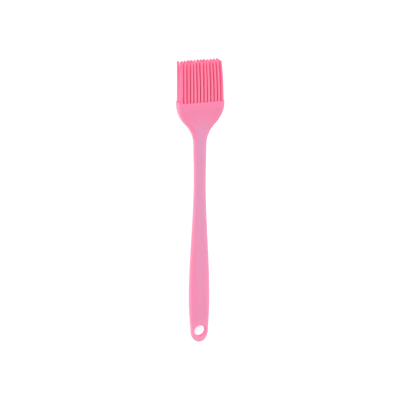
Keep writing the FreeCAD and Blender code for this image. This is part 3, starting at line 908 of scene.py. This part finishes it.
class BRUSH_OT_bristles(bpy.types.Operator):
    """Build the rows of bristles, each bristle curved a little from its root"""
    bl_idname = "brush.bristles"
    bl_label = "Bristles"

    def execute(self, context):
        _, sizes, finish, _ = settings()
        coat = silicone("bristle_silicone", finish, bristle_colour)
        tree = comb_tree()
        for row in range(1, ROWS + 1):
            self.make_row(row, sizes, coat, tree)
        return {"FINISHED"}

    def first_tip(self, row, sizes):
        """How far a row's first tip stands in. The back row's stands out a little, alone."""
        if row == ROWS:
            return -sizes.splay
        return sizes.tuck if row > 1 else 0.0

    def make_row(self, row, sizes, coat, tree):
        """One comb's bristles as one plain mesh."""
        low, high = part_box(f"bristle_row_{row}")
        root_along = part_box(f"comb_bar_{row}")[1].y
        height = (low.z + high.z) / 2
        reach = high.y - root_along
        spacing = (high.x - low.x - 2 * sizes.root_radius) / (sizes.count - 1)
        piece = finish_piece(f"bristles_{row}", bristle_mesh(sizes, reach), coat, math.pi)
        modifier = piece.modifiers.new("comb", "NODES")
        modifier.node_group = tree
        values = {"Count": sizes.count, "Spacing": spacing, "Root Along": root_along,
                  "Root Height": height, "Reach": reach, "Lean": sizes.lean, "Bend": sizes.bend,
                  "Shortening": sizes.short, "Gather": sizes.gather,
                  "Tuck": self.first_tip(row, sizes),
                  "Seed": sizes.seed + ROW_SEED * row, "Material": coat}
        for item in tree.interface.items_tree:
            if item.in_out == "INPUT" and item.name in values:
                modifier[item.identifier] = values[item.name]
        made_plain(piece)
        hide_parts(f"bristle_row_{row}")
        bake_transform(piece)


TABLE_HALF = 4.0
TABLE_WHITE = 0.92
KEY_PLACE = Vector((-0.55, 0.75, 1.1))
FILL_PLACE = Vector((0.9, -0.2, 0.8))


class BRUSH_OT_stage(bpy.types.Operator):
    """Set up the floor, the lights and the camera"""
    bl_idname = "brush.stage"
    bl_label = "Stage"

    def execute(self, context):
        stage = context.scene.brush_stage
        self.make_floor(stage)
        self.make_light(stage)
        self.make_camera(context, stage)
        context.scene.view_settings.view_transform = "Standard"
        return {"FINISHED"}

    def make_floor(self, stage):
        """A large white table top."""
        mesh = bmesh.new()
        bmesh.ops.create_grid(mesh, x_segments=1, y_segments=1, size=TABLE_HALF)
        material, shader = new_material("table_white")
        shader.inputs["Base Color"].default_value = (TABLE_WHITE, TABLE_WHITE, TABLE_WHITE, 1)
        shader.inputs["Roughness"].default_value = 0.9
        shader.inputs["Emission Color"].default_value = (1, 1, 1, 1)
        shader.inputs["Emission Strength"].default_value = stage.floor
        floor = finish_piece("table", mesh, material, math.pi)

    def make_light(self, stage):
        """An even white sky, one large key light and a weaker fill light."""
        world = bpy.data.worlds.new("studio")
        world.use_nodes = True
        sky = world.node_tree.nodes["Background"]
        sky.inputs["Color"].default_value = (1, 1, 1, 1)
        sky.inputs["Strength"].default_value = stage.sky
        bpy.context.scene.world = world
        for name, place, power, width in (
                ("key", KEY_PLACE, stage.key, stage.key_width),
                ("fill", FILL_PLACE, stage.fill, stage.fill_width)):
            light = bpy.data.lights.new(name, "AREA")
            light.shape = "SQUARE"
            light.size = width
            light.energy = power
            lamp = bpy.data.objects.new(name, light)
            lamp.location = place
            lamp.rotation_euler = place.to_track_quat("Z", "Y").to_euler()
            bpy.context.scene.collection.objects.link(lamp)

    def make_camera(self, context, stage):
        """Looks down on the brush's front, a little from its left and towards its tips."""
        side, tip = stage.side_angle, stage.tip_angle
        right = Vector((math.cos(side), 0, math.sin(side)))
        back = Vector((-math.sin(side) * math.cos(tip), math.sin(tip),
                       math.cos(side) * math.cos(tip)))
        up = back.cross(right)
        turn = Matrix((right, up, back)).transposed() @ Matrix.Rotation(stage.roll, 3, "Z")
        low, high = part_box("handle_sleeve")
        target = Vector((0, stage.aim_along, (low.z + high.z) / 2))
        data = bpy.data.cameras.new("camera")
        data.sensor_width = 36
        data.lens = data.sensor_width * stage.distance / stage.view_width
        data.clip_start = 0.01
        data.clip_end = 20
        camera = bpy.data.objects.new("camera", data)
        camera.matrix_world = Matrix.Translation(target + back * stage.distance) @ turn.to_4x4()
        bpy.context.scene.collection.objects.link(camera)
        context.scene.camera = camera


OPERATORS = (BRUSH_OT_stage, BRUSH_OT_sleeve, BRUSH_OT_strip, BRUSH_OT_bars, BRUSH_OT_bristles)


class BRUSH_PT_panel(bpy.types.Panel):
    """The sidebar's list of pieces and their sizes."""
    bl_idname = "BRUSH_PT_panel"
    bl_label = "Pastry brush"
    bl_space_type = "VIEW_3D"
    bl_region_type = "UI"
    bl_category = "Brush"

    def draw(self, context):
        for operator in OPERATORS:
            self.layout.operator(operator.bl_idname)
        for group in settings():
            box = self.layout.box()
            for name in group.__annotations__:
                box.prop(group, name)


GROUPS = {"brush_sleeve": SleeveSettings, "brush_bristles": BristleSettings,
          "brush_finish": FinishSettings, "brush_stage": StageSettings}


def register():
    """Adds the classes and the groups of sizes."""
    for group in GROUPS.values():
        bpy.utils.register_class(group)
    for name, group in GROUPS.items():
        setattr(bpy.types.Scene, name, PointerProperty(type=group))
    for item in OPERATORS + (BRUSH_PT_panel,):
        bpy.utils.register_class(item)


def unregister():
    """Takes them away again."""
    for item in reversed(OPERATORS + (BRUSH_PT_panel,)):
        bpy.utils.unregister_class(item)
    for name, group in GROUPS.items():
        delattr(bpy.types.Scene, name)
        bpy.utils.unregister_class(group)


def main():
    """Builds every piece and the stage."""
    register()
    for operator in OPERATORS:
        category, name = operator.bl_idname.split(".")
        getattr(getattr(bpy.ops, category), name)()


if __name__ == "__main__":
    main()
